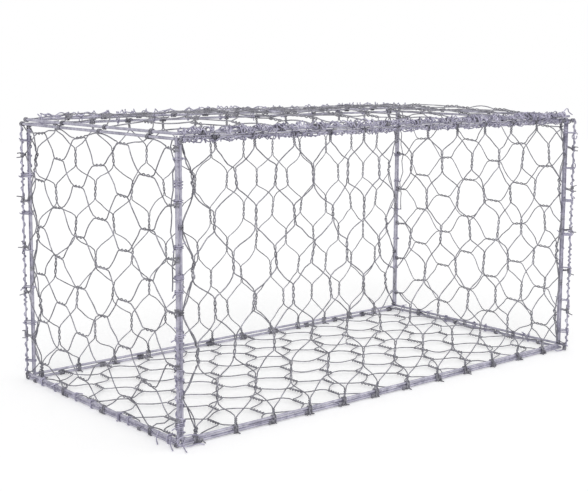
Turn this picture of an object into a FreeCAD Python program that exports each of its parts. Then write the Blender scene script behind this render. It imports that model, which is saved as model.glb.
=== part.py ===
"""Gabion basket: a box of double-twist hexagonal wire mesh, one metre by half a metre by half a metre.

Six woven mesh panels (base, front, back, two ends and a lid) each hang in their own edge rods. The cut
ends of the mesh wires are wound round the rods. At the foot of the front and the back, they are wound round
both the panel's own rod and the base's rod, which joins the panels. The base's mesh lies over its rods, under
the foot rods of the walls and the ends. Wire ties join the other edges. The two end panels are the same panel
turned by half a turn: each is longer than the basket is deep, so a thin side wire stands out past one corner.
The lid swings in loops of wire round its back rod.

Millimetres, +X along the front to the right, +Y from front to back, +Z up. The origin is on the ground,
under the middle of the basket. Every panel is drawn flat, with u across the columns of twists, v along
them and n square to both, and is then set in its place.
"""
import FreeCAD, Part
import math
import os
from collections import namedtuple

from FreeCAD import Vector

# The box, between the middles of opposite rods
basket_length = 1000.0
basket_depth = 500.0
basket_height = 500.0

# Wire sizes, and the gap between wires that touch
edge_rod_diameter = 5.0
side_wire_diameter = 3.0
mesh_wire_diameter = 2.2
tie_wire_diameter = 2.2
wire_clearance = 0.15
hinge_play = 0.3

# The weave of the walls and the lid: a cell is cell_width across, and rows of twists are row_pitch apart
cell_width = 82.0
row_pitch = 70.0
twist_length = 36.0

# The base is stretched wider, and the end panels, whose twists lie level, are stretched both ways
base_cell_width = 91.0
base_row_pitch = 61.0
end_cell_width = 87.0
end_row_pitch = 73.0

# Where each weave starts: its first column from the basket's left end, or from the rod at an end panel's foot,
# or its first row from the first rod
front_first_column = 33.0
back_first_column = 22.0
base_first_column = 22.0
lid_first_column = 47.0
end_first_column = 33.0
base_first_row = -6.0
end_first_row = 8.0
column_margin = 12.0
end_overhang = 16.0

# Uneven weave, as hand-stretched mesh has: two crossing waves move each twist from its even place
wander_across = 3.6
wander_along = 2.6
slow_wave = 430.0
quick_wave = 170.0
wave_slant = 0.6

# Ties and loops
post_tie_pitch = 70.0
bottom_tie_pitch = 78.0
hinge_loop_pitch = 82.0
tie_margin = 26.0
wound_gap = 2.2
one_rod_sides = 6
two_rod_sides = 8

# Sizes that follow from those above
rod_radius = edge_rod_diameter / 2
side_wire_radius = side_wire_diameter / 2
wire_radius = mesh_wire_diameter / 2
wound_width = 2 * mesh_wire_diameter
wound_radius = rod_radius + wire_clearance + mesh_wire_diameter
wound_corner = wound_radius / math.cos(math.pi / one_rod_sides)
wrapped_rods = wound_radius + wire_clearance + rod_radius
lid_gap = wound_corner + hinge_play + rod_radius
rod_end_gap = rod_radius + wire_clearance

# Planes and levels of the rods
end_plane = basket_length / 2
side_rod_x = end_plane - wrapped_rods
wall_plane = basket_depth / 2
side_wire_y = wall_plane + end_overhang
base_level = rod_end_gap + max(mesh_wire_diameter, tie_wire_diameter)
foot_level = base_level + wrapped_rods
lid_level = base_level + basket_height
head_level = lid_level - lid_gap

# How near a tie or a wound end may come to another one, and to a mesh wire that lies along a rod
wound_reach = wound_width + wound_gap
tie_reach = (wound_width + tie_wire_diameter) / 2 + hinge_play
contact_reach = twist_length / 2 + 6 * tie_wire_diameter
tie_to_tie = 3 * tie_wire_diameter

X, Y, Z = Vector(1, 0, 0), Vector(0, 1, 0), Vector(0, 0, 1)

# One end of a panel: its rod's radius, where a rod bound to it lies as (v, n) or None, and what is taken
Edge = namedtuple("Edge", "rod_radius partner taken")


def wander(u, v, seed):
    """How far the weave stands from its even place at (u, v), across and along the twists."""
    slow = 2 * math.pi * (u + wave_slant * v) / slow_wave + seed
    quick = 2 * math.pi * (v - wave_slant * u) / quick_wave + 2 * seed
    across = math.sin(slow) + math.sin(quick) / 2
    along = math.cos(slow) + math.cos(quick) / 2
    return wander_across * across, wander_along * along


def clear_spot(wanted, taken, start=-math.inf, end=math.inf):
    """The place nearest to the wanted one that keeps its distance from each (middle, reach), or None."""
    tiny = 1e-6
    spots = [wanted] + [middle + side * reach for middle, reach in taken for side in (-1, 1)]
    spots = [s for s in spots if start <= s <= end]
    free = [s for s in spots if all(abs(s - middle) > reach - tiny for middle, reach in taken)]
    return min(free, key=lambda s: abs(s - wanted), default=None)


def even_rows(first, last, pitch):
    """Evenly spaced rows from first to last, about pitch apart."""
    count = max(2, round((last - first) / pitch))
    return [first + (last - first) * k / count for k in range(count + 1)]


def columns_between(first, pitch, width):
    """Columns half a cell apart across a panel, each one clear of both side rods."""
    reach = width - column_margin
    count = int((reach - first) // (pitch / 2)) + 1
    return [first + pitch / 2 * j for j in range(count)]


class Weave:
    """The flat lattice of one panel between four rods whose middles are at u 0 and width, v 0 and length.

    Column j is twisted in row k where j + k is even, or odd if parity is 1. Columns -1 and the last plus
    one are the side rods, which the outermost wires touch. The mesh lies on the plane of the rods' middles,
    or, if over_rods, on the rods' upper side."""

    def __init__(self, width, length, columns, rows, parity, seed, edges, over_rods=False):
        self.width, self.length = width, length
        self.columns, self.rows = columns, rows
        self.parity, self.seed, self.edges = parity, seed, edges
        self.last_row = len(rows) - 1
        beside = wire_clearance + wire_radius
        self.level = rod_radius + beside if over_rods else 0
        self.beside_rod = 0 if over_rods else rod_radius + beside
        self.first_edge = 0 if over_rods else edges[0].rod_radius + beside
        self.last_edge = length - (0 if over_rods else edges[1].rod_radius + beside)
        self.wound = [self.wound_places(0, edges[0]), self.wound_places(self.last_row, edges[1])]

    def twisted(self, j, k):
        return (j + k) % 2 == self.parity

    def wound_places(self, k, edge):
        """The u at which each twist of an end row is wound round the rod, by its column's number."""
        cut = [j for j in range(len(self.columns)) if self.twisted(j, k)]
        return {j: clear_spot(self.columns[j], edge.taken) or self.columns[j] for j in cut}

    def side_contacts(self, j):
        """The v of each place where the outermost wire lies along the side rod."""
        return [v for k, v in enumerate(self.rows) if self.twisted(j, k)]

    def moved(self, u, v):
        """The even place (u, v) with its wander, which fades out towards the end rods."""
        fade = max(0, min(1, v / row_pitch, (self.length - v) / row_pitch))
        across, along = wander(u, v, self.seed)
        return u + fade * across, v + fade * along

    def twist(self, j, k):
        """The two ends of the twist of column j in row k, the lower v first."""
        low, high = self.rows[k] - twist_length / 2, self.rows[k] + twist_length / 2
        if j < 0:
            ends = [(self.beside_rod, low), (self.beside_rod, high)]
        elif j == len(self.columns):
            ends = [(self.width - self.beside_rod, low), (self.width - self.beside_rod, high)]
        else:
            ends = [self.moved(self.columns[j], low), self.moved(self.columns[j], high)]
        if k == 0:
            u = self.wound[0].get(j, ends[1][0])
            ends = [(u, self.first_edge), (u, ends[1][1])]
        if k == self.last_row:
            u = self.wound[1].get(j, ends[0][0])
            ends = [(u, ends[0][1]), (u, self.last_edge)]
        return ends

    def gap(self, j, k):
        """The corners of the gap whose middle is on column j in row k, drawn in by the wires round it.

        In the end rows and beside the side rods, the gap is open and runs on past the plate's edge."""
        sides = []
        first, last = k == 0, k == self.last_row
        outside_low = self.first_edge - mesh_wire_diameter
        outside_high = self.last_edge + mesh_wire_diameter
        outside_left = self.beside_rod - mesh_wire_diameter
        outside_right = self.width - outside_left
        low_tip = outside_low if first else self.twist(j, k - 1)[1][1]
        high_tip = outside_high if last else self.twist(j, k + 1)[0][1]
        at_left, at_right = j < 0, j == len(self.columns)
        if not first:
            sides.append((self.twist(j, k - 1)[1], 0 if at_right else wire_radius))
        if at_right:
            sides += [((outside_right, low_tip), 0), ((outside_right, high_tip), 0)]
        else:
            low, high = self.twist(j + 1, k)
            beside = wire_radius if j + 1 == len(self.columns) else mesh_wire_diameter
            sides.append(((low[0], outside_low) if first else low, beside))
            sides.append(((high[0], outside_high) if last else high, 0 if last else wire_radius))
        if not last:
            sides.append((self.twist(j, k + 1)[0], 0 if at_left else wire_radius))
        if at_left:
            sides += [((outside_left, high_tip), 0), ((outside_left, low_tip), 0)]
        else:
            low, high = self.twist(j - 1, k)
            beside = wire_radius if j == 0 else mesh_wire_diameter
            sides.append(((high[0], outside_high) if last else high, beside))
            sides.append(((low[0], outside_low) if first else low, 0 if first else wire_radius))
        return draw_in(sides)

    def plate(self):
        """The weave as one wall as thick as the wire."""
        left, right = self.beside_rod - wire_radius, self.width - self.beside_rod + wire_radius
        low, high = self.first_edge, self.last_edge
        outlines = [closed_wire([(left, low), (right, low), (right, high), (left, high)])]
        notches = []
        for k in range(len(self.rows)):
            for j in range(-1, len(self.columns) + 1):
                if self.twisted(j, k):
                    continue
                outline = closed_wire(self.gap(j, k))
                if 0 < k < self.last_row and 0 <= j < len(self.columns):
                    outlines.append(outline)
                else:
                    notches.append(Part.Face(outline))
        face = Part.makeFace(outlines, "Part::FaceMakerBullseye").cut(notches)
        face.translate(Vector(0, 0, self.level - wire_radius))
        return face.extrude(Vector(0, 0, mesh_wire_diameter))

    def panel(self, u_axis, v_axis, origin):
        """The plate with its cut ends wound round the end rods, set in its place."""
        pieces = [self.plate()]
        for edge, v, places in zip(self.edges, (0, self.length), self.wound):
            if edge.partner:
                wound = wire_loop([(0, 0), edge.partner], [edge.rod_radius, rod_radius],
                                  mesh_wire_diameter, wound_width, wire_clearance, two_rod_sides)
            else:
                wound = wire_loop([(0, 0)], [edge.rod_radius],
                                  mesh_wire_diameter, wound_width, wire_clearance, one_rod_sides)
            pieces += [set_axes(wound, Y, Z, Vector(u, v, 0)) for u in places.values()]
        fused = pieces[0].fuse(pieces[1:])
        return set_axes(fused.Solids[0] if len(fused.Solids) == 1 else fused, u_axis, v_axis, origin)


def closed_wire(corners):
    points = [Vector(u, v, 0) for u, v in corners]
    return Part.makePolygon(points + points[:1])


def meeting_points(lines):
    """Where each line a*x + b*y = p of a closed ring of lines meets the line before it."""
    corners = []
    for (a, b, p), (c, d, q) in zip(lines[-1:] + lines[:-1], lines):
        det = a * d - b * c
        corners.append(((p * d - b * q) / det, (a * q - p * c) / det))
    return corners


def draw_in(sides):
    """Moves each side of an anticlockwise polygon inwards. sides is a list of (corner, distance)."""
    lines = []
    for ((u, v), distance), ((next_u, next_v), _) in zip(sides, sides[1:] + sides[:1]):
        length = math.hypot(next_u - u, next_v - v)
        a, b = (v - next_v) / length, (next_u - u) / length
        lines.append((a, b, a * u + b * v + distance))
    return meeting_points(lines)


def loop_outline(centres, radii, sides):
    """A polygon that touches the circles round one or two rods. Its first side faces along the pair."""
    (x0, y0), (x1, y1) = centres[0], centres[-1]
    heading = math.atan2(y1 - y0, x1 - x0) if len(centres) > 1 else math.pi / 2
    lines = []
    for i in range(sides):
        angle = heading + 2 * math.pi * i / sides
        a, b = math.cos(angle), math.sin(angle)
        lines.append((a, b, max(a * x + b * y + r for (x, y), r in zip(centres, radii))))
    return meeting_points(lines)


def wire_loop(centres, radii, wire, width, play, sides):
    """A loop of wire round one or two rods, drawn on the plane z 0 and width long along z."""
    inner = closed_wire(loop_outline(centres, [r + play for r in radii], sides))
    outer = closed_wire(loop_outline(centres, [r + play + wire for r in radii], sides))
    face = Part.makeFace([outer, inner], "Part::FaceMakerBullseye")
    face.translate(Vector(0, 0, -width / 2))
    return face.extrude(Vector(0, 0, width))


def set_axes(shape, x_axis, y_axis, origin):
    """A copy of the shape with its x, y and z along x_axis, y_axis and their cross product."""
    z_axis = x_axis.cross(y_axis)
    matrix = FreeCAD.Matrix(
        x_axis.x, y_axis.x, z_axis.x, origin.x,
        x_axis.y, y_axis.y, z_axis.y, origin.y,
        x_axis.z, y_axis.z, z_axis.z, origin.z,
        0, 0, 0, 1)
    placed = shape.copy()
    placed.Placement = FreeCAD.Placement(matrix)
    return placed


def half_turn(shape):
    """The same piece on the other side of the basket, turned about the upright axis."""
    turned = shape.copy()
    turned.rotate(Vector(0, 0, 0), Z, 180)
    return turned


def rod(start, end, radius=rod_radius):
    run = end - start
    return Part.makeCylinder(radius, run.Length, start, run)


def kept_clear(places, shift):
    """The wound ends of a neighbour as (middle, reach), in this panel's own u."""
    return [(place + shift, wound_reach) for place in places.values()]


def wall_weave(first_column, seed):
    """The front or the back: its foot is bound to the base's rod, which lies under its own."""
    width, length = 2 * side_rod_x, head_level - foot_level
    columns = columns_between(first_column - (end_plane - side_rod_x), cell_width, width)
    foot, head = Edge(rod_radius, (-wrapped_rods, 0), []), Edge(rod_radius, None, [])
    return Weave(width, length, columns, even_rows(0, length, row_pitch), 0, seed, [foot, head])


def base_weave(front, back):
    """The base, whose mesh lies between its own rods and the foot rods over them."""
    width, length = basket_length, basket_depth
    columns = columns_between(base_first_column, base_cell_width, width)
    rows = even_rows(base_first_row, length - twist_length / 2, base_row_pitch)
    edges = [Edge(rod_radius, None, kept_clear(wall.wound[0], wrapped_rods)) for wall in (front, back)]
    return Weave(width, length, columns, rows, 1, 3, edges, over_rods=True)


def lid_weave(front, back):
    width, length = basket_length, basket_depth
    columns = columns_between(lid_first_column, cell_width, width)
    edges = [Edge(rod_radius, None, kept_clear(wall.wound[1], wrapped_rods)) for wall in (front, back)]
    return Weave(width, length, columns, even_rows(0, length, row_pitch), 0, 4, edges)


def end_weave():
    """An end panel, with u up and v from its corner rod to its thin side wire."""
    width, length = head_level - foot_level, basket_depth + end_overhang
    columns = columns_between(end_first_column, end_cell_width, width)
    rows = even_rows(end_first_row, length, end_row_pitch)
    edges = [Edge(rod_radius, None, []), Edge(side_wire_radius, None, [])]
    return Weave(width, length, columns, rows, 0, 5, edges)


def meshes(front, back, base, lid, end):
    """The six woven panels."""
    left_end = end.panel(Z, Y, Vector(-end_plane, -wall_plane, foot_level))
    return {
        "front_mesh": front.panel(X, Z, Vector(-side_rod_x, -wall_plane, foot_level)),
        "back_mesh": back.panel(X, Z, Vector(-side_rod_x, wall_plane, foot_level)),
        "base_mesh": base.panel(X, Y, Vector(-end_plane, -wall_plane, base_level)),
        "lid_mesh": lid.panel(X, Y, Vector(-end_plane, -wall_plane, lid_level)),
        "left_end_mesh": left_end,
        "right_end_mesh": half_turn(left_end),
    }


def wall_rods():
    """The front's and the back's rods. The upright ones stop just short of those across their ends."""
    pieces = {}
    for wall, y in (("front", -wall_plane), ("back", wall_plane)):
        for part, z in (("bottom", foot_level), ("top", head_level)):
            reach = side_rod_x + rod_radius
            pieces[f"{wall}_{part}_rod"] = rod(Vector(-reach, y, z), Vector(reach, y, z))
        for side, x in (("left", -side_rod_x), ("right", side_rod_x)):
            foot, head = foot_level + rod_end_gap, head_level - rod_end_gap
            pieces[f"{wall}_{side}_rod"] = rod(Vector(x, y, foot), Vector(x, y, head))
    return pieces


def deck_rods():
    """The base's and the lid's rods. The two at the ends stop just short of the long ones."""
    pieces = {}
    for deck, z in (("base", base_level), ("lid", lid_level)):
        for part, y in (("front", -wall_plane), ("back", wall_plane)):
            reach = end_plane + rod_radius
            pieces[f"{deck}_{part}_rod"] = rod(Vector(-reach, y, z), Vector(reach, y, z))
        for side, x in (("left", -end_plane), ("right", end_plane)):
            reach = wall_plane - rod_end_gap
            pieces[f"{deck}_{side}_rod"] = rod(Vector(x, -reach, z), Vector(x, reach, z))
    return pieces


def end_rods():
    """Each end panel's corner rod, thin side wire, and bottom and top rods between the two."""
    x, near_y = -end_plane, -wall_plane
    foot, top = foot_level - rod_radius, head_level + rod_radius
    far_y = side_wire_y - side_wire_radius - wire_clearance
    left = {
        "corner_rod": rod(Vector(x, near_y, foot), Vector(x, near_y, top)),
        "side_wire": rod(Vector(x, side_wire_y, foot), Vector(x, side_wire_y, top), side_wire_radius),
        "bottom_rod": rod(Vector(x, near_y + rod_end_gap, foot_level), Vector(x, far_y, foot_level)),
        "top_rod": rod(Vector(x, near_y + rod_end_gap, head_level), Vector(x, far_y, head_level)),
    }
    pieces = {f"left_end_{part}": shape for part, shape in left.items()}
    pieces.update({f"right_end_{part}": half_turn(shape) for part, shape in left.items()})
    return pieces


def free_places(start, end, pitch, taken):
    """Even places from start to end, each moved to the nearest spot that is clear of what is taken."""
    places = []
    for wanted in even_rows(start, end, pitch):
        place = clear_spot(wanted, taken + [(other, tie_to_tie) for other in places], start, end)
        if place is not None:
            places.append(place)
    return places


def tie(other_rod, other_radius=rod_radius, play=wire_clearance):
    """A tie round a rod at the origin and another one at other_rod."""
    return wire_loop([(0, 0), other_rod], [rod_radius, other_radius], tie_wire_diameter, tie_wire_diameter,
                     play, two_rod_sides)


def post_ties(wall, side, end, end_side):
    """The ties of one upright edge, on the left of the basket: side is the wall's column at the post.

    end_side is 0 where the end panel's corner rod stands beside the post, 1 where its side wire does."""
    taken = [(foot_level + v, contact_reach) for v in wall.side_contacts(side)]
    taken += [(foot_level + u, tie_reach) for u in end.wound[end_side].values()]
    if end_side == 0:
        loop, y = tie((-wrapped_rods, 0)), -wall_plane
    else:
        loop, y = tie((-wrapped_rods, end_overhang), side_wire_radius), wall_plane
    places = free_places(foot_level + tie_margin, head_level - tie_margin, post_tie_pitch, taken)
    return Part.makeCompound([set_axes(loop, X, Y, Vector(-side_rod_x, y, z)) for z in places])


def bottom_ties(base, side, end, facing):
    """The ties between an end panel's bottom rod and the base. facing is 1 at the left, -1 at the right."""
    taken = [(v - wall_plane, contact_reach) for v in base.side_contacts(side)]
    taken += [(facing * (v - wall_plane), contact_reach) for v in end.side_contacts(-1)]
    reach = wall_plane - tie_margin
    places = free_places(-reach, reach, bottom_tie_pitch, taken)
    loop = tie((wrapped_rods, 0))
    return Part.makeCompound([set_axes(loop, Z, X, Vector(-facing * end_plane, y, base_level)) for y in places])


def hinge_loops(back, lid):
    """The loops round the back's top rod and the lid's back rod, in which the lid swings."""
    taken = [(u - side_rod_x, tie_reach) for u in back.wound[1].values()]
    taken += [(u - end_plane, tie_reach) for u in lid.wound[1].values()]
    reach = side_rod_x - tie_margin
    places = free_places(-reach, reach, hinge_loop_pitch, taken)
    loop = tie((lid_gap, 0), rod_radius, hinge_play)
    return Part.makeCompound([set_axes(loop, Z, Y, Vector(x, wall_plane, head_level)) for x in places])


def ties(front, back, base, end):
    """Wire ties: each node is a group of separate closed loops along one edge."""
    return {
        "front_left_ties": post_ties(front, -1, end, 0),
        "back_left_ties": post_ties(back, -1, end, 1),
        "back_right_ties": half_turn(post_ties(back, len(back.columns), end, 0)),
        "front_right_ties": half_turn(post_ties(front, len(front.columns), end, 1)),
        "left_bottom_ties": bottom_ties(base, -1, end, 1),
        "right_bottom_ties": bottom_ties(base, len(base.columns), end, -1),
    }


def build():
    """Every piece by its node's name."""
    front, back = wall_weave(front_first_column, 1), wall_weave(back_first_column, 2)
    base, lid, end = base_weave(front, back), lid_weave(front, back), end_weave()
    pieces = meshes(front, back, base, lid, end)
    pieces.update(wall_rods())
    pieces.update(deck_rods())
    pieces.update(end_rods())
    pieces.update(ties(front, back, base, end))
    pieces["hinge_loops"] = hinge_loops(back, lid)
    return pieces


os.makedirs("parts", exist_ok=True)
for node, piece in build().items():
    piece.exportStep(f"parts/{node}.step")
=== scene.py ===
"""Gabion basket of galvanised double-twist wire mesh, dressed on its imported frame.

Metres, +X along the front to the right, +Y from front to back, +Z up. Each woven panel is drawn flat, with
u across its columns of twists, v along them and n square to both, and is then set in its place.
"""
import math
import random

import bpy
from mathutils import Matrix, Vector


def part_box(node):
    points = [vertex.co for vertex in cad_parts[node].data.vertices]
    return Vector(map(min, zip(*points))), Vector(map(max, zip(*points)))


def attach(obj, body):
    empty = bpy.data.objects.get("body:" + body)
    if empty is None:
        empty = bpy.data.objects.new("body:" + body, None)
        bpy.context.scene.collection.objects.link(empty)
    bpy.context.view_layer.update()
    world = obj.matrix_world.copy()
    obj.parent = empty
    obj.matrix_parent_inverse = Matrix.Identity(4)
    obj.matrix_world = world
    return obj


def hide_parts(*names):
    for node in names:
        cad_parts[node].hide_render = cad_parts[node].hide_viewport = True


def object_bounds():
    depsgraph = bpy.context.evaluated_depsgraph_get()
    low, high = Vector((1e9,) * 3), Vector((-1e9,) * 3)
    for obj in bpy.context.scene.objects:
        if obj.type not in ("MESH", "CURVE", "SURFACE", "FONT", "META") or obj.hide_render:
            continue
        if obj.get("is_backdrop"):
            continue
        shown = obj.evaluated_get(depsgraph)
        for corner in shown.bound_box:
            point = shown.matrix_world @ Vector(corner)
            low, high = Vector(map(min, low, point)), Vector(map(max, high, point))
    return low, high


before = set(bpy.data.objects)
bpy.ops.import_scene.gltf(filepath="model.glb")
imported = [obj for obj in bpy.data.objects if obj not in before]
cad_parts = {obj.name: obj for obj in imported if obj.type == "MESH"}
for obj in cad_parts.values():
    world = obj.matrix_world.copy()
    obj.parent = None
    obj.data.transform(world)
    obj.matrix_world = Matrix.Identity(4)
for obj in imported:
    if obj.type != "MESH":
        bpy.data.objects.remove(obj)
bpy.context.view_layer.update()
mm = 0.001


# Edge rods and side wires. Each panel hangs in straight rods of drawn steel, hot-dip galvanised. The zinc
# has weathered to a soft lavender grey: its crystals differ a little in tone, duller patches lie between
# them, and there is no bright shine.
rod_light = "c4c2cf"
rod_dark = "908e9f"
crystal_size = 5 * mm
crystal_share = 0.4
patch_size = 18 * mm
patch_detail = 3
patch_low = 0.35
patch_high = 0.65
dull_metal = 0.55
bare_metal = 0.85
grain_size = 1.2 * mm
grain_detail = 2
grain_low = 0.3
grain_high = 0.7
grain_depth = 0.2 * mm
grain_strength = 0.3
zinc_roughness = 0.46
roughness_spread = 0.1


def linear(hex_colour):
    """A colour written as sRGB hex, as linear red, green, blue and alpha."""
    parts = [int(hex_colour[i:i + 2], 16) / 255 for i in (0, 2, 4)]
    return [p / 12.92 if p <= 0.04045 else ((p + 0.055) / 1.055) ** 2.4 for p in parts] + [1]


def add(tree, kind, inputs=(), **settings):
    """Adds a node with its settings. inputs holds (socket, value), or (socket, another node's output)."""
    node = tree.nodes.new(kind)
    for name, value in settings.items():
        setattr(node, name, value)
    for socket, value in inputs:
        if isinstance(value, bpy.types.NodeSocket):
            tree.links.new(value, node.inputs[socket])
        else:
            node.inputs[socket].default_value = value
    return node


def galvanised(name, light, dark):
    """Zinc on steel: crystals, patches of duller zinc, and a fine grain that roughens the surface."""
    material = bpy.data.materials.new(name)
    material.use_nodes = True
    tree = material.node_tree
    tree.nodes.clear()
    place = add(tree, "ShaderNodeTexCoord").outputs["Object"]
    crystals = add(tree, "ShaderNodeTexVoronoi", [("Vector", place), ("Scale", 1 / crystal_size)])
    crystal = add(tree, "ShaderNodeSeparateColor", [("Color", crystals.outputs["Color"])])
    patches = add(tree, "ShaderNodeTexNoise", [("Vector", place), ("Scale", 1 / patch_size),
                                               ("Detail", patch_detail)])
    grain = add(tree, "ShaderNodeTexNoise", [("Vector", place), ("Scale", 1 / grain_size),
                                             ("Detail", grain_detail)])
    dulled = add(tree, "ShaderNodeMapRange", [("Value", patches.outputs["Fac"]), ("From Min", patch_low),
                                              ("From Max", patch_high)])
    tone = add(tree, "ShaderNodeMix", [("Factor", crystal_share), ("A", dulled.outputs[0]),
                                       ("B", crystal.outputs["Red"])])
    colour = add(tree, "ShaderNodeMix", [("Factor", tone.outputs["Result"]), ("A", linear(dark)),
                                         ("B", linear(light))], data_type="RGBA")
    bare = add(tree, "ShaderNodeMapRange", [("Value", dulled.outputs[0]), ("To Min", dull_metal),
                                            ("To Max", bare_metal)])
    rough = add(tree, "ShaderNodeMapRange", [("Value", grain.outputs["Fac"]), ("From Min", grain_low),
                                             ("From Max", grain_high),
                                             ("To Min", zinc_roughness + roughness_spread),
                                             ("To Max", zinc_roughness - roughness_spread)])
    bump = add(tree, "ShaderNodeBump", [("Height", grain.outputs["Fac"]), ("Strength", grain_strength),
                                        ("Distance", grain_depth)])
    zinc = add(tree, "ShaderNodeBsdfPrincipled", [("Base Color", colour.outputs["Result"]),
                                                  ("Metallic", bare.outputs[0]),
                                                  ("Roughness", rough.outputs[0]),
                                                  ("Normal", bump.outputs["Normal"])])
    add(tree, "ShaderNodeOutputMaterial", [("Surface", zinc.outputs[0])])
    return material


rod_zinc = galvanised("galvanised_rod", rod_light, rod_dark)
for node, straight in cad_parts.items():
    if node.endswith(("_rod", "_wire")):
        straight.data.materials.clear()
        straight.data.materials.append(rod_zinc)
        for face in straight.data.polygons:
            face.use_smooth = True


# Front and back mesh. Drawn wire, galvanised and darker than the rods, runs up each panel in pairs that are
# twisted together at each side of a cell. The outermost wires go round the side rods. The cut ends are wound
# round the rods at the panel's foot and head, a turn or two each, and stand out as short tails.
full_turn = 2 * math.pi
mesh_wire = 2.2 * mm
wire_gap = 0.15 * mm
wire_light = "a3a2aa"
wire_dark = "5f5e66"
wire_roundness = 2
loose_wire_steps = 6

# Columns of twists are half a cell apart. The first one is this far from the base's left rod.
cell_width = 82 * mm
row_pitch = 70 * mm
front_first_column = 33 * mm
back_first_column = 22 * mm
column_margin = 12 * mm

twist_length = 36 * mm
wall_half_turns = 3
wall_twist_steps = 12
bead_reach = 0.75 * mesh_wire
selvedge_turns = 2
selvedge_reach = bead_reach + 0.8 * mesh_wire
side_turns = 2
side_knot = 9 * mm

# The mesh wanders from its even places in two crossing waves, hangs between its rods, and was bent by hand.
wander_across = 3.6 * mm
wander_along = 2.6 * mm
slow_wave = 430 * mm
quick_wave = 170 * mm
wave_slant = 0.6
wall_sag = 4 * mm
edge_fullness = 0.3
end_fullness = 0.5
hang_ripple = 0.25
hand_shift = 1.6 * mm
hand_bend = 2.2 * mm
hand_lift = 1.5 * mm
# An easy S between two twists: the share of the way along the panel, and the share of the way across.
easy_s = ((0.1, 0.06), (0.3, 0.28), (0.5, 0.5), (0.7, 0.72), (0.9, 0.94))

# A wound end starts on the mesh side of its rods, and its last turn goes part of the way round.
end_search = cell_width / 3
knot_height = 3 * mesh_wire
knot_spacing = 3 * mesh_wire
wind_step = math.radians(30)
wind_pitch = 1.15 * mesh_wire
end_turns = (1, 2)
part_turn_over = (0.17, 0.28)
part_turn_left = (0.0, 0.1)
part_turn_right = (0.32, 0.42)
part_turn_hinged = (0.65, 0.75)
hinged_tail_rise = math.pi / 8
tail_length = 9 * mm
tail_share = (0.6, 1.4)
tail_lean = (-0.3, 0.4)
tail_curve = 0.5
tail_bends = (0.4, 1)

wire_zinc = galvanised("galvanised_wire", wire_light, wire_dark)


def middle(node):
    low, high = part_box(node)
    return (low + high) / 2


def thickness(node):
    low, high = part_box(node)
    return min(high - low)


def even_rows(first, last, pitch):
    """Evenly spaced rows from first to last, about pitch apart."""
    count = max(2, round((last - first) / pitch))
    return [first + (last - first) * k / count for k in range(count + 1)]


def columns_between(first, pitch, width):
    """Columns half a cell apart across a panel, each one clear of both side rods."""
    count = int((width - column_margin - first) // (pitch / 2)) + 1
    return [first + pitch / 2 * j for j in range(count)]


def on_rods(rods, angle, wire=mesh_wire, stand_off=0):
    """Where a wire lies outside one or two rods, at an angle. rods is a list of (x, y, rod radius)."""
    a = math.cos(angle)
    b = math.sin(angle)
    x, y, radius = max(rods, key=lambda rod: rod[0] * a + rod[1] * b + rod[2])
    reach = radius + wire_gap + wire / 2 + stand_off
    return x + reach * a, y + reach * b


def round_rods(rods, start, turns):
    """A wire's way round the rods from the angle start through turns, as (x, y, share of the way)."""
    steps = max(2, round(abs(turns) * full_turn / wind_step))
    return [(*on_rods(rods, start + turns * full_turn * i / steps), i / steps) for i in range(steps + 1)]


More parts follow.
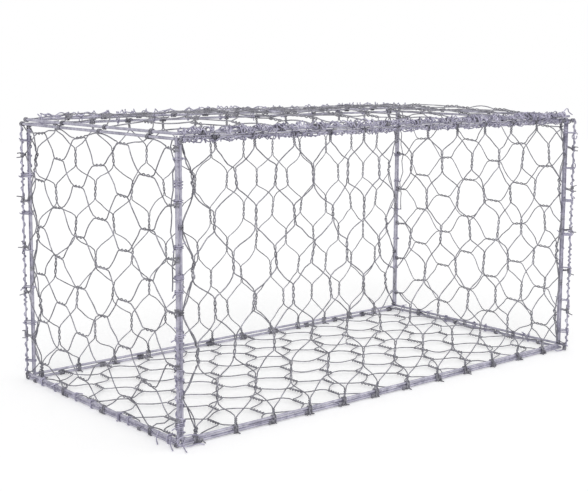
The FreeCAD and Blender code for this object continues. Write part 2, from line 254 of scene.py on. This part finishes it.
class Panel:
    """A woven panel between its four rods.

    Each side is (its own rod, the neighbour's rod that its wires go round as well, or None). Where the mesh
    lies over the rods, it is level with their upper side, and otherwise with their middles. At the head of a
    hinged panel, the cut ends stand up and inwards, clear of the rod below it when the panel is open. In the
    first row, the even columns have a twist where parity is 0, and the odd ones where it is 1."""

    def __init__(self, node, left, right, foot, head, parity, seed, over_rods=False, hinged=False):
        self.node = node
        self.sides = {"left": left, "right": right, "foot": foot, "head": head}
        self.parity = parity
        self.seed = seed
        self.dice = random.Random(seed)
        self.over_rods = over_rods
        self.hinged = hinged
        self.gathered = False
        across = middle(right[0]) - middle(left[0])
        along = middle(head[0]) - middle(foot[0])
        self.u_axis = self.main_direction(across)
        self.v_axis = self.main_direction(along)
        self.n_axis = self.u_axis.cross(self.v_axis)
        self.width = across.dot(self.u_axis)
        self.length = along.dot(self.v_axis)
        to_foot = (middle(foot[0]) - middle(left[0])).dot(self.v_axis)
        self.origin = middle(left[0]) + to_foot * self.v_axis
        self.level = thickness(left[0]) / 2 + wire_gap + mesh_wire / 2 if over_rods else 0

    @staticmethod
    def main_direction(run):
        """The run along its longest axis alone, as a unit vector."""
        axis = max(range(3), key=lambda i: abs(run[i]))
        return Vector([math.copysign(1, run[i]) if i == axis else 0 for i in range(3)])

    def weave(self, columns, rows, sag, lift=hand_lift, bend=hand_bend, fullness=edge_fullness,
              half_turns=wall_half_turns, twist_steps=wall_twist_steps):
        """Sets out the twists. sag is how far the mesh hangs or bulges, lift how uneven its surface is, and
        bend how far its wires bow between two twists. The smaller fullness is, the more steeply the mesh
        leaves its side rods."""
        self.columns = columns
        self.rows = rows
        self.sag = sag
        self.lift = lift
        self.bend = bend
        self.fullness = fullness
        self.half_turns = half_turns
        self.twist_steps = twist_steps
        self.last_row = len(rows) - 1
        self.wound = {k: self.wound_places(k) for k in (0, self.last_row)}
        self.quirks = {}
        for k in range(len(rows)):
            for j in range(len(columns)):
                shifts = [self.dice.gauss(0, hand_shift) for _ in ("low u", "low v", "high u", "high v")]
                rise = self.dice.gauss(0, lift / 2)
                hand = self.dice.choice((-1, 1))
                self.quirks[j, k] = shifts, rise, hand

    def flat(self, point):
        """A point of the frame in the panel's own u, v and n."""
        away = point - self.origin
        return away.dot(self.u_axis), away.dot(self.v_axis), away.dot(self.n_axis)

    def placed(self, u, v, n):
        """A point of the panel in the frame. No wire goes below the ground."""
        point = self.origin + u * self.u_axis + v * self.v_axis + n * self.n_axis
        point.z = max(point.z, mesh_wire / 2)
        return point

    def twisted(self, j, k):
        return (j + k) % 2 == self.parity

    def wound_places(self, k):
        """The u of each wound end in an end row, read from the frame, by its column's number."""
        past = thickness(self.sides["foot" if k == 0 else "head"][0]) / 2
        flat = [self.flat(vertex.co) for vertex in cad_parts[self.node].data.vertices]
        found = [u for u, v, _ in flat if (v < -past if k == 0 else v > self.length + past)]
        places = {}
        for j, column in enumerate(self.columns):
            if self.twisted(j, k):
                near = [u for u in found if abs(u - column) < end_search]
                places[j] = (min(near) + max(near)) / 2
        return places

    def gather(self, knots):
        """Brings the cut ends at the foot together with a neighbour's, which are wound at the knots."""
        for j, u in self.wound[0].items():
            near = min(knots, key=lambda knot: abs(knot - u))
            self.wound[0][j] = near + math.copysign(knot_spacing, u - near)
        self.gathered = True

    def moved(self, u, v):
        """The even place (u, v) with its wander, which fades out towards the end rods."""
        fade = max(0, min(1, v / row_pitch, (self.length - v) / row_pitch))
        slow = full_turn * (u + wave_slant * v) / slow_wave + self.seed
        quick = full_turn * (v - wave_slant * u) / quick_wave + 2 * self.seed
        across = wander_across * (math.sin(slow) + math.sin(quick) / 2)
        along = wander_along * (math.cos(slow) + math.cos(quick) / 2)
        return u + fade * across, v + fade * along

    def hang(self, u, v):
        """The n of the mesh at (u, v), where it hangs or bulges between its rods, steeply at first."""
        inside_u = math.sin(math.pi * max(0, min(1, u / self.width)))
        inside_v = math.sin(math.pi * max(0, min(1, v / self.length)))
        full = inside_u ** self.fullness * inside_v ** end_fullness
        ripple = math.sin(full_turn * u / slow_wave + 2 * self.seed) * math.cos(full_turn * v / slow_wave)
        return self.level + full * self.sag * (1 + hang_ripple * ripple)

    def twist(self, j, k):
        """The two ends of the middle line of a twist, the lower v first."""
        low = self.rows[k] - twist_length / 2
        high = self.rows[k] + twist_length / 2
        if j < 0 or j == len(self.columns):
            u = 0 if j < 0 else self.width
            return [(u, low), (u, high)]
        (low_u, low_v, high_u, high_v), _, _ = self.quirks[j, k]
        foot = self.moved(self.columns[j] + low_u, low + low_v)
        head = self.moved(self.columns[j] + high_u, high + high_v)
        if k == 0:
            foot = (self.wound[0][j], knot_height)
        if k == self.last_row:
            head = (self.wound[k][j], self.length - knot_height)
        return [foot, head]

    def twist_points(self, j, k, heading):
        """One wire of a twist. It comes from the side that heading leaves and goes on to the other one."""
        (u0, v0), (u1, v1) = self.twist(j, k)
        _, rise, hand = self.quirks[j, k]
        points = []
        for i in range(self.twist_steps + 1):
            t = i / self.twist_steps
            angle = self.half_turns * math.pi * t
            u = u0 + (u1 - u0) * t
            v = v0 + (v1 - v0) * t
            across = -heading * math.cos(angle)
            out = heading * hand * math.sin(angle)
            points.append((u + across * bead_reach, v, self.hang(u, v) + rise + out * bead_reach))
        return points

    def bound_rods(self, side):
        """The rods that a wire goes round at one side, as (x, y, radius) on the plane across the rod."""
        own, bound = self.sides[side]
        rods = [(0, 0, thickness(own) / 2)]
        if bound:
            away = middle(bound) - middle(own)
            along = self.u_axis if side in ("left", "right") else self.v_axis
            rods.append((away.dot(along), away.dot(self.n_axis), thickness(bound) / 2))
        return rods

    def round_side(self, j, k):
        """The outermost wire's turns round a side rod, close beside one another."""
        u = self.twist(j, k)[0][0]
        side, start = ("left", 0) if j < 0 else ("right", math.pi)
        turns = side_turns * self.dice.choice((-1, 1))
        if self.over_rods:
            start = math.pi / 2
            turns = side_turns if j < 0 else -side_turns
        middle_v = self.rows[k] + self.dice.gauss(0, hand_shift)
        middle_v = max(side_knot / 2, min(self.length - side_knot / 2, middle_v))
        return [(u + x, middle_v + side_knot * (t - 0.5), y)
                for x, y, t in round_rods(self.bound_rods(side), start, turns)]

    def wound_end(self, j, k, away):
        """A cut end, from the mesh to the tip of its tail. away is the side on which its twin is not."""
        rods = self.bound_rods("foot" if k == 0 else "head")
        if k > 0:
            rods = [(-x, y, r) for x, y, r in rods]
        joins = k == 0 and self.sides["foot"][1]
        whole = 1 if joins else self.dice.choice(end_turns)
        swings = self.hinged and k > 0
        if self.over_rods:
            start, spin, part = math.pi / 2, 1, part_turn_over
        elif away < 0:
            start, spin, part = math.pi / 4, 1, part_turn_left
        elif swings:
            start, spin, part = -math.pi / 4, -1, part_turn_hinged
        else:
            start, spin, part = -math.pi / 4, -1, part_turn_right
        turns = spin * (whole + self.dice.uniform(*part))
        first_u = self.wound[k][j] + away * mesh_wire / 2
        step_u = away * wind_pitch * abs(turns)
        points = [(first_u + step_u * t, x, y) for x, y, t in round_rods(rods, start, turns)]
        heading = start + turns * full_turn + spin * math.pi / 2
        curve = self.dice.uniform(-tail_curve, tail_curve)
        if swings:
            heading = hinged_tail_rise
            curve = -abs(curve)
        length = tail_length * self.dice.uniform(*tail_share)
        lean = away * self.dice.uniform(*tail_lean)
        u, x, y = points[-1]
        for share in tail_bends:
            reach = length * share
            angle = heading + curve * share
            points.append((u + lean * reach, x + reach * math.cos(angle), y + reach * math.sin(angle)))
        return [(u, x if k == 0 else self.length - x, y) for u, x, y in points]

    def crossing(self, start, end):
        """The wire's run between two twists: an easy S, bowed and bent by hand."""
        (u0, v0, n0), (u1, v1, n1) = start, end
        run_u = u1 - u0
        run_v = v1 - v0
        run = math.hypot(run_u, run_v)
        bow = self.dice.gauss(0, self.bend)
        wave = self.dice.gauss(0, self.bend / 2)
        lift = self.dice.gauss(0, self.lift)
        points = []
        for t, ease in easy_s:
            swell = math.sin(math.pi * t)
            side = bow * swell + wave * math.sin(full_turn * t)
            points.append((u0 + run_u * ease - side * run_v / run, v0 + run_v * t + side * run_u / run,
                           n0 + (n1 - n0) * t + lift * swell))
        return points

    def strand(self, w):
        """The wire that starts at the foot between columns w - 1 and w, and changes sides in each twist."""
        heading = 1 if self.twisted(w - 1, 0) else -1
        j = w - 1 if heading > 0 else w
        points = []
        for k in range(len(self.rows)):
            if 0 <= j < len(self.columns):
                run = self.twist_points(j, k, heading)
                if k == 0:
                    cut = self.wound_end(j, k, -heading)[::-1]
                    run = cut if self.gathered else cut + run
                if k == self.last_row:
                    run = run + self.wound_end(j, k, heading)
            else:
                run = self.round_side(j, k)
                heading = 1 if j < 0 else -1
            if points:
                points += self.crossing(points[-1], run[0])
            points += run
            j += heading
        return [self.placed(*p) for p in points]

    def strands(self):
        """Every wire that runs the length of the panel."""
        return [self.strand(w) for w in range(len(self.columns) + 1)]

    def around_twist(self, j, k, away):
        """A third wire's turns round the pair in a twist."""
        (u0, v0), (u1, v1) = self.twist(j, k)
        points = []
        for i in range(self.twist_steps + 1):
            t = i / self.twist_steps
            angle = selvedge_turns * full_turn * t
            u = u0 + (u1 - u0) * t
            v = v0 + (v1 - v0) * t
            points.append((u + away * selvedge_reach * math.cos(angle), v,
                           self.hang(u, v) + selvedge_reach * math.sin(angle)))
        return points

    def selvedge(self, side):
        """A second wire beside the outermost one, which shares its turns round the side rod."""
        last = len(self.columns)
        outside, inner, away = (-1, 0, -1) if side == "left" else (last, last - 1, 1)
        points = []
        for k in range(len(self.rows)):
            if self.twisted(outside, k):
                run = self.round_side(outside, k)
            else:
                run = self.around_twist(inner, k, away)
            if points:
                points += self.crossing(points[-1], run[0])
            points += run
        return [self.placed(*p) for p in points]


def wire_piece(name, runs, body, slot, material, *nodes, wire=mesh_wire, loose=False):
    """A piece made of round wires, one for each run of points, which stands for the named nodes.

    A wire goes from point to point, but a loose one is a smooth line that passes near them."""
    curve = bpy.data.curves.new(name, "CURVE")
    curve.dimensions = "3D"
    curve.bevel_depth = wire / 2
    curve.bevel_resolution = wire_roundness
    curve.use_fill_caps = True
    for points in runs:
        spline = curve.splines.new("NURBS" if loose else "POLY")
        spline.points.add(len(points) - 1)
        for spot, place in zip(spline.points, points):
            spot.co = (*place, 1)
        spline.use_smooth = True
        if loose:
            spline.order_u = 3
            spline.use_endpoint_u = True
            spline.resolution_u = loose_wire_steps
    curve.materials.append(material)
    piece = bpy.data.objects.new(name, curve)
    bpy.context.scene.collection.objects.link(piece)
    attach(piece, body)
    if nodes:
        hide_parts(*nodes)


left_x = middle("base_left_rod").x
walls = {}
for wall, first_column, seed in (("front", front_first_column, 1), ("back", back_first_column, 2)):
    panel = Panel(f"{wall}_mesh", (f"{wall}_left_rod", None), (f"{wall}_right_rod", None),
                  (f"{wall}_bottom_rod", f"base_{wall}_rod"), (f"{wall}_top_rod", None),
                  parity=0, seed=seed)
    first_u = first_column + left_x - panel.origin.x
    panel.weave(columns_between(first_u, cell_width, panel.width),
                even_rows(0, panel.length, row_pitch), wall_sag)
    wire_piece(panel.node + "_wires", panel.strands() + [panel.selvedge("left"), panel.selvedge("right")],
               "basket", "mesh_wire", wire_zinc, panel.node)
    walls[wall] = panel


# Base mesh. The same wire in wider, shorter cells with tighter twists, pulled out of shape the most. It lies
# over the base's rods, and its cut ends at the front are gathered at the knots of the front mesh.
base_cell_width = 91 * mm
base_row_pitch = 61 * mm
base_first_column = 22 * mm
base_first_row = -6 * mm
base_half_turns = 5
base_twist_steps = 18
base_sag = -3 * mm
base_bend = 3.6 * mm

base = Panel("base_mesh", ("base_left_rod", None), ("base_right_rod", None), ("base_front_rod", None),
             ("base_back_rod", None), parity=1, seed=3, over_rods=True)
base.weave(columns_between(base_first_column, base_cell_width, base.width),
           even_rows(base_first_row, base.length - twist_length / 2, base_row_pitch), base_sag,
           bend=base_bend, half_turns=base_half_turns, twist_steps=base_twist_steps)
front = walls["front"]
base.gather([u + front.origin.x - base.origin.x for u in front.wound[0].values()])
wire_piece("base_mesh_wires", base.strands(), "basket", "mesh_wire", wire_zinc, "base_mesh")


# Lid mesh. Woven as the walls are, in four rods of its own, and bulged: it rises steeply from the rods and
# lies loose between them. It swings with the lid.
lid_first_column = 47 * mm
lid_bulge = 17 * mm
lid_lift = 1.8 * mm
lid_fullness = 0.14

lid = Panel("lid_mesh", ("lid_left_rod", None), ("lid_right_rod", None), ("lid_front_rod", None),
            ("lid_back_rod", None), parity=0, seed=4, hinged=True)
lid.weave(columns_between(lid_first_column, cell_width, lid.width), even_rows(0, lid.length, row_pitch),
          lid_bulge, lift=lid_lift, fullness=lid_fullness)
wire_piece("lid_mesh_wires", lid.strands(), "lid", "mesh_wire", wire_zinc, "lid_mesh")


# End meshes. Woven lying on their side: their wires run from the corner rod to the thin side wire, which
# stands out past the next corner. One more wire lies in the mesh beside the upper half of the corner rod.
end_cell_width = 87 * mm
end_row_pitch = 73 * mm
end_first_column = 33 * mm
end_first_row = 8 * mm
extra_wire_inset = 11 * mm
extra_wire_bends = 6
extra_wire_wobble = 1.5 * mesh_wire


def beside_corner_rod(panel):
    """The extra wire of an end mesh, unevenly bent, from half way up to the top."""
    start = panel.width / 2
    run = panel.width - start
    count = round(run / cell_width) * extra_wire_bends
    return [panel.placed(start + run * i / count, extra_wire_inset + panel.dice.gauss(0, extra_wire_wobble),
                         panel.dice.gauss(0, mesh_wire / 2)) for i in range(count + 1)]


for end in ("left", "right"):
    panel = Panel(f"{end}_end_mesh", (f"{end}_end_bottom_rod", f"base_{end}_rod"),
                  (f"{end}_end_top_rod", None), (f"{end}_end_corner_rod", None),
                  (f"{end}_end_side_wire", None), parity=0, seed=5)
    panel.weave(columns_between(end_first_column, end_cell_width, panel.width),
                even_rows(end_first_row, panel.length, end_row_pitch), wall_sag)
    wire_piece(panel.node + "_wires", panel.strands() + [beside_corner_rod(panel)], "basket", "mesh_wire",
               wire_zinc, panel.node)


# Ties and hinge loops. Short lengths of wire are wound round the rods of neighbouring panels with pliers, and
# their ends stand out or are curled into a ring. Along the back's top edge they are loose, and the lid swings
# in them.
tie_wire = 2.2 * mm
tie_light = "c4c1d2"
tie_dark = "7c798f"
hinge_play = 0.3 * mm
loop_gap = 2 * tie_wire
tie_turns = (1, 1, 2)
tie_part_turn = (0.05, 0.35)
tie_start = (-0.8, 0.8)
tie_pitch = (1.1, 1.6)
tie_tail_share = (0.5, 1.2)
tie_tail_curl = 0.6
tie_tail_steps = 2
ring_length = 26 * mm
ring_part_turn = (0.6, 0.9)
ring_steps = 7
# The axis that a rod lies along.
lengthwise = 0
depthwise = 1
upright = 2

tie_zinc = galvanised("galvanised_tie", tie_light, tie_dark)


def loop_places(node, axis):
    """The middle of each separate loop of a node, along the axis on which they stand in line."""
    places = sorted(vertex.co[axis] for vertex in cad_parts[node].data.vertices)
    loops = [places[:1]]
    for place in places[1:]:
        if place - loops[-1][-1] > loop_gap:
            loops.append([])
        loops[-1].append(place)
    return [(loop[0] + loop[-1]) / 2 for loop in loops]


def beside(rod, axis, x, y, along):
    """A point x and y across from a rod's middle, at its place along the rod, and above the ground."""
    spot = middle(rod)
    first, second = [i for i in range(3) if i != axis]
    spot[first] += x
    spot[second] += y
    spot[axis] = along
    spot.z = max(spot.z, tie_wire / 2)
    return spot


def rod_pair(first_rod, second_rod, axis, play=0):
    """Two rods as (x, y, radius) on the plane across them, the first one at the origin."""
    first, second = [i for i in range(3) if i != axis]
    away = middle(second_rod) - middle(first_rod)
    return [(0, 0, thickness(first_rod) / 2 + play),
            (away[first], away[second], thickness(second_rod) / 2 + play)]


def tie_end(tip, inner, length, curl, steps):
    """The end of a tie beyond its last turn: it goes straight on, and curls along the rods."""
    x, y, z = tip
    heading = math.atan2(y - inner[1], x - inner[0])
    step = length / steps
    points = []
    for i in range(steps):
        angle = curl * (i + 1) / steps
        x += step * math.cos(angle) * math.cos(heading)
        y += step * math.cos(angle) * math.sin(heading)
        z += step * math.sin(angle)
        points.append((x, y, z))
    return points


def wound_ties(node, first_rod, second_rod, axis, seed, play=0, rings=False):
    """A node's ties, wound round two rods and along axis. With rings, one end of each curls into a ring."""
    dice = random.Random(seed)
    rods = rod_pair(first_rod, second_rod, axis, play)
    outwards = math.atan2(rods[1][1], rods[1][0])
    runs = []
    for place in loop_places(node, axis):
        spin = dice.choice((-1, 1))
        whole = dice.choice(tie_turns)
        start = outwards + dice.uniform(*tie_start)
        turns = spin * (whole + dice.uniform(*tie_part_turn))
        reach = abs(turns) * tie_wire * dice.uniform(*tie_pitch)
        points = [(x, y, (t - 0.5) * reach) for x, y, t in round_rods(rods, start, turns)]
        for end, inner in ((0, 1), (-1, -2)):
            ring = rings and end == 0
            length = ring_length if ring else tail_length * dice.uniform(*tie_tail_share)
            hand = dice.choice((-1, 1))
            curl = hand * (full_turn * dice.uniform(*ring_part_turn) if ring else tie_tail_curl)
            tail = tie_end(points[end], points[inner], length, curl, ring_steps if ring else tie_tail_steps)
            points = tail[::-1] + points if end == 0 else points + tail
        runs.append([beside(first_rod, axis, x, y, place + z) for x, y, z in points])
    wire_piece(node + "_wound", runs, "basket", "tie_wire", tie_zinc, node, wire=tie_wire)


wound_ties("front_left_ties", "front_left_rod", "left_end_corner_rod", upright, seed=11)
wound_ties("back_left_ties", "back_left_rod", "left_end_side_wire", upright, seed=12)
wound_ties("back_right_ties", "back_right_rod", "right_end_corner_rod", upright, seed=13)
wound_ties("front_right_ties", "front_right_rod", "right_end_side_wire", upright, seed=14, rings=True)
wound_ties("left_bottom_ties", "base_left_rod", "left_end_bottom_rod", depthwise, seed=15)
wound_ties("right_bottom_ties", "base_right_rod", "right_end_bottom_rod", depthwise, seed=16)
wound_ties("hinge_loops", "back_top_rod", "lid_back_rod", lengthwise, seed=17, play=hinge_play)


# Lacing. Longer lengths of the tie wire swing to and fro over the lid's front rod and under the front's top
# rod, and stand off them in small loops. Others wind in and out of the lid's mesh near its back edge.
lacing_step = math.radians(36)
over = math.pi / 2
under = -math.pi / 2
lid_pitch = 26 * mm
lid_slack = 9 * mm
edge_pitch = 20 * mm
edge_slack = 5 * mm
swing_degrees = (70, 125)
slack_power = 1.5
draped_pitch_share = (0.3, 1.7)
uneven_pitch_share = (0.4, 1.6)
woven_reach_share = (0.6, 1.3)
woven_rise = 0.6


def single(rod):
    return [(0, 0, thickness(rod) / 2)]


def draped(rod, axis, start, end, facing, pitch, slack, seed):
    """A wire that swings to and fro over one side of a rod, in loops that stand off it."""
    dice = random.Random(seed)
    phase = dice.uniform(0, math.pi)
    along = start
    points = []
    while along < end:
        if not points or math.sin(phase) * math.sin(phase - lacing_step) <= 0:
            swing = math.radians(dice.uniform(*swing_degrees))
            stand_off = slack * dice.random() ** slack_power
            step = pitch * dice.uniform(*draped_pitch_share) * lacing_step / full_turn
        x, y = on_rods(single(rod), facing + swing * math.sin(phase), tie_wire, stand_off)
        points.append(beside(rod, axis, x, y, along))
        phase += lacing_step
        along += step
    return points


def woven_in(panel, inset, radius, pitch, seed):
    """A wire that winds in and out of a panel's mesh, in uneven turns, along a line beside its head."""
    dice = random.Random(seed)
    v = panel.length - inset
    u = column_margin
    angle = 0
    points = []
    while u < panel.width - column_margin:
        if math.fmod(angle, full_turn) < wind_step:
            step = pitch * dice.uniform(*uneven_pitch_share) * wind_step / full_turn
            reach = radius * dice.uniform(*woven_reach_share)
        points.append(panel.placed(u, v + reach * math.sin(angle),
                                   panel.hang(u, v) + reach * (woven_rise + math.cos(angle))))
        angle += wind_step
        u += step
    return points


low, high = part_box("front_top_rod")
for name, rod, body, facing, pitch, slack, seeds in (
        ("lid_front_lacing", "lid_front_rod", "lid", over, lid_pitch, lid_slack, (21, 22, 23)),
        ("front_top_lacing", "front_top_rod", "basket", under, edge_pitch, edge_slack, (24, 25))):
    lengths = [draped(rod, lengthwise, low.x, high.x, facing, pitch, slack, seed) for seed in seeds]
    wire_piece(name, lengths, body, "tie_wire", tie_zinc, wire=tie_wire)

# Each wire's distance from the lid's back rod, its reach from its own middle line, its pitch and its seed.
back_wires = ((27 * mm, 5 * mm, 38 * mm, 28),
              (38 * mm, 4.5 * mm, 40 * mm, 29),
              (52 * mm, 3 * mm, 60 * mm, 30))
wire_piece("lid_back_lacing", [woven_in(lid, *back_wire) for back_wire in back_wires], "lid", "tie_wire",
           tie_zinc, wire=tie_wire)


# Winding on the side wires. One length of the tie wire is wound up each thin side wire, in long uneven turns
# that stand off it a little.
side_pitch = 17 * mm
side_slack = 1.5 * mm


def spiral(rods, rod, axis, start, end, pitch, slack, seed):
    """A wire wound along the rods. Each turn has its own pitch and stands off them by up to slack."""
    dice = random.Random(seed)
    spin = dice.choice((-1, 1))
    phase = dice.uniform(0, full_turn)
    along = start
    turned = full_turn
    points = []
    while along < end:
        if turned >= full_turn:
            turned = 0
            stand_off = slack * dice.random()
            slack_side = dice.uniform(0, full_turn)
            step = pitch * dice.uniform(*uneven_pitch_share) * lacing_step / full_turn
        angle = phase + spin * turned
        x, y = on_rods(rods, angle, tie_wire, stand_off * max(0, math.cos(angle - slack_side)))
        points.append(beside(rod, axis, x, y, along))
        turned += lacing_step
        along += step
    return points


side_runs = []
for seed, rod in ((31, "left_end_side_wire"), (32, "right_end_side_wire")):
    low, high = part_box(rod)
    side_runs.append(spiral(single(rod), rod, upright, low.z, high.z, side_pitch, side_slack, seed))
wire_piece("side_wire_lacing", side_runs, "basket", "tie_wire", tie_zinc, wire=tie_wire)


# Laid lengths. Straight lengths of the tie wire lie in the grooves between neighbouring rods and along the
# posts, where the ties and the mesh's wound ends hold them.
laid_step = 40 * mm
laid_wobble = 0.2 * mm
foot_groove = -1.3 * mm
top_groove = 2 * mm
post_groove = 1.3 * mm
outer_side = math.radians(-40)
inner_side = math.radians(140)


def laid(rod, axis, x, y, start, end, seed):
    """A straight length that lies along a rod, a little uneven."""
    dice = random.Random(seed)
    count = max(2, round((end - start) / laid_step))
    return [beside(rod, axis, x + dice.gauss(0, laid_wobble), y + dice.gauss(0, laid_wobble),
                   start + (end - start) * i / count) for i in range(count + 1)]


def in_groove(first_rod, second_rod, axis, aside, seed):
    """A straight length in the groove between two rods, aside from the plane through both."""
    low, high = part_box(first_rod)
    x, y = [c / 2 for c in rod_pair(first_rod, second_rod, axis)[1][:2]]
    run = math.hypot(x, y)
    return laid(first_rod, axis, x - aside * y / run, y + aside * x / run, low[axis], high[axis], seed)


def on_post(post, angle, seed):
    """A straight length down one side of a post."""
    low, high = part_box(post)
    x, y = on_rods(single(post), angle, tie_wire)
    return laid(post, upright, x, y, low.z, high.z, seed)


laid_runs = [in_groove("front_bottom_rod", "base_front_rod", lengthwise, foot_groove, seed=41),
             in_groove("left_end_bottom_rod", "base_left_rod", depthwise, foot_groove, seed=47),
             in_groove("front_top_rod", "lid_front_rod", lengthwise, top_groove, seed=46),
             in_groove("front_left_rod", "left_end_corner_rod", upright, post_groove, seed=42),
             on_post("front_right_rod", outer_side, seed=43),
             on_post("front_right_rod", inner_side, seed=44),
             on_post("back_left_rod", inner_side, seed=45)]
wire_piece("laid_lacing", laid_runs, "basket", "tie_wire", tie_zinc, wire=tie_wire)


# Coils on the posts. Here and there a length of the tie wire is wound round a post, in a short close coil or
# in long open turns. At the near corner it goes round the end mesh's corner rod as well.
close_pitch = 3.2 * mm
open_pitch = 16 * mm
coil_slack = 1.8 * mm

coils = []
# Heights of foot and top are in millimetres above the ground.
for seed, post, partner, foot, top, pitch in (
        (51, "front_left_rod", "left_end_corner_rod", 420, 432, close_pitch),
        (52, "front_left_rod", "left_end_corner_rod", 270, 282, close_pitch),
        (53, "front_left_rod", "left_end_corner_rod", 16, 200, open_pitch),
        (54, "front_right_rod", None, 445, 490, close_pitch),
        (55, "front_right_rod", None, 200, 445, open_pitch),
        (56, "front_right_rod", None, 48, 60, close_pitch),
        (57, "back_left_rod", None, 380, 490, open_pitch)):
    rods = rod_pair(post, partner, upright) if partner else single(post)
    coils.append(spiral(rods, post, upright, foot * mm, top * mm, pitch, coil_slack, seed))
wire_piece("post_coils", coils, "basket", "tie_wire", tie_zinc, wire=tie_wire)


# Loose loops and tails. Ends of the tie wire are left over at the corners: a slack loop round the foot of the
# near post and of the right one, a loop on the lid's corner, and three tails that reach to the ground.
near_corner = Vector((middle("base_left_rod").x, middle("base_front_rod").y, 0))
right_corner = Vector((middle("base_right_rod").x, middle("base_front_rod").y, 0))
lid_corner = Vector((middle("lid_right_rod").x, middle("lid_front_rod").y, middle("lid_front_rod").z))

# The points that each wire passes near, in millimetres from its corner.
for name, body, corner, points in (
        ("near_corner_loop", "basket", near_corner,
         ((36, -6, 16), (18, -8, 22), (1, -8, 21), (-6, -2, 14), (-1, -7, 5), (18, -10, 3), (36, -8, 4),
          (40, -16, 2))),
        ("near_corner_tail", "basket", near_corner, ((12, -2, 14), (4, -7, 9), (0, -16, 4), (-3, -28, 2))),
        ("near_left_tail", "basket", near_corner, ((-1, 18, 16), (-6, 16, 10), (-11, 6, 5), (-16, -8, 2))),
        ("near_left_end", "basket", near_corner, ((-1, 54, 16), (-7, 52, 9), (-13, 44, 4), (-17, 34, 2))),
        ("right_corner_loop", "basket", right_corner,
         ((-38, -6, 12), (-30, -10, 3), (-14, -11, 1.5), (3, -9, 2), (8, -3, 7), (1, 3, 13), (-6, -3, 20))),
        ("lid_corner_loop", "lid", lid_corner,
         ((-30, -2, 4.15), (-22, -2, 8.15), (-14, -4, 17.15), (-8, -4, 16.15), (-3, -2, 8.15),
          (8, -4, 3.15)))):
    wire_piece(name, [[corner + Vector(point) * mm for point in points]], body, "tie_wire", tie_zinc,
               wire=tie_wire, loose=True)


# Studio. A floor of matt white paper and a white backdrop. Both look white, and the floor keeps the basket's
# shadow. Soft daylight comes from all round, and a little more of it from the front left.
white = "ffffff"
paper_white = "f6f6f6"
floor_reach = 6.0
floor_glow = 0.2
world_light = 0.6
key_place = (-2.2, -2.4, 2.8)
key_spread = 40
key_power = 1.2
fill_place = (2.6, -1.6, 1.8)
fill_spread = 60
fill_power = 0.4


def in_sight(tree):
    """1 where the camera sees a surface, straight or in a reflection, and otherwise 0."""
    ray = add(tree, "ShaderNodeLightPath")
    either = add(tree, "ShaderNodeMath", [(0, ray.outputs["Is Camera Ray"]),
                                          (1, ray.outputs["Is Glossy Ray"])], operation="MAXIMUM")
    return either.outputs[0]


world = bpy.data.worlds.new("studio_daylight")
bpy.context.scene.world = world
world.use_nodes = True
sky = world.node_tree
sky.nodes.clear()
strength = add(sky, "ShaderNodeMapRange", [("Value", in_sight(sky)), ("To Min", world_light),
                                           ("To Max", 1.0)])
glow = add(sky, "ShaderNodeBackground", [("Color", linear(white)), ("Strength", strength.outputs[0])])
add(sky, "ShaderNodeOutputWorld", [("Surface", glow.outputs[0])])

floor_paper = bpy.data.materials.new("white_paper")
floor_paper.use_nodes = True
paper = floor_paper.node_tree
paper.nodes.clear()
shine = add(paper, "ShaderNodeMath", [(0, in_sight(paper)), (1, floor_glow)], operation="MULTIPLY")
matt = add(paper, "ShaderNodeBsdfDiffuse", [("Color", linear(paper_white))])
bright = add(paper, "ShaderNodeEmission", [("Color", linear(white)), ("Strength", shine.outputs[0])])
both = add(paper, "ShaderNodeAddShader", [(0, matt.outputs[0]), (1, bright.outputs[0])])
add(paper, "ShaderNodeOutputMaterial", [("Surface", both.outputs[0])])
bpy.ops.mesh.primitive_plane_add(size=2 * floor_reach)
floor = bpy.context.object
floor.name = "floor"
floor.data.materials.append(floor_paper)
floor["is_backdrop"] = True


def soft_sun(name, place, spread, power):
    """Soft daylight from the side of the given place, even over the whole floor."""
    lamp = bpy.data.lights.new(name, "SUN")
    lamp.angle = math.radians(spread)
    lamp.energy = power
    holder = bpy.data.objects.new(name, lamp)
    holder.location = place
    holder.rotation_euler = (-Vector(place)).to_track_quat("-Z", "Y").to_euler()
    bpy.context.scene.collection.objects.link(holder)


soft_sun("key_light", key_place, key_spread, key_power)
soft_sun("fill_light", fill_place, fill_spread, fill_power)


# Camera. It stands at the photograph's angle: front left of the basket and a little above it. Its frame is
# shifted down by some of the photograph's pixels, which puts the basket where the photograph has it.
camera_place = Vector((-1.4926, -1.7015, 0.6181))
camera_turn = math.radians(40.341)
camera_drop = math.radians(7.304)
camera_roll = math.radians(0.359)
camera_lens = 69.25
sensor_width = 36
photo_width = 588
frame_drop = 40

forward = Vector((math.sin(camera_turn) * math.cos(camera_drop),
                  math.cos(camera_turn) * math.cos(camera_drop),
                  -math.sin(camera_drop)))
unrolled = forward.to_track_quat("-Z", "Y").to_matrix()
view = bpy.data.cameras.new("photo_camera")
view.lens = camera_lens
view.sensor_width = sensor_width
view.shift_y = -frame_drop / photo_width
camera = bpy.data.objects.new("photo_camera", view)
bpy.context.scene.collection.objects.link(camera)
camera.location = camera_place
camera.rotation_euler = (unrolled @ Matrix.Rotation(camera_roll, 3, "Z")).to_euler()
bpy.context.scene.camera = camera
bpy.context.scene.view_settings.view_transform = "Standard"

bpy.context.view_layer.update()
low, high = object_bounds()
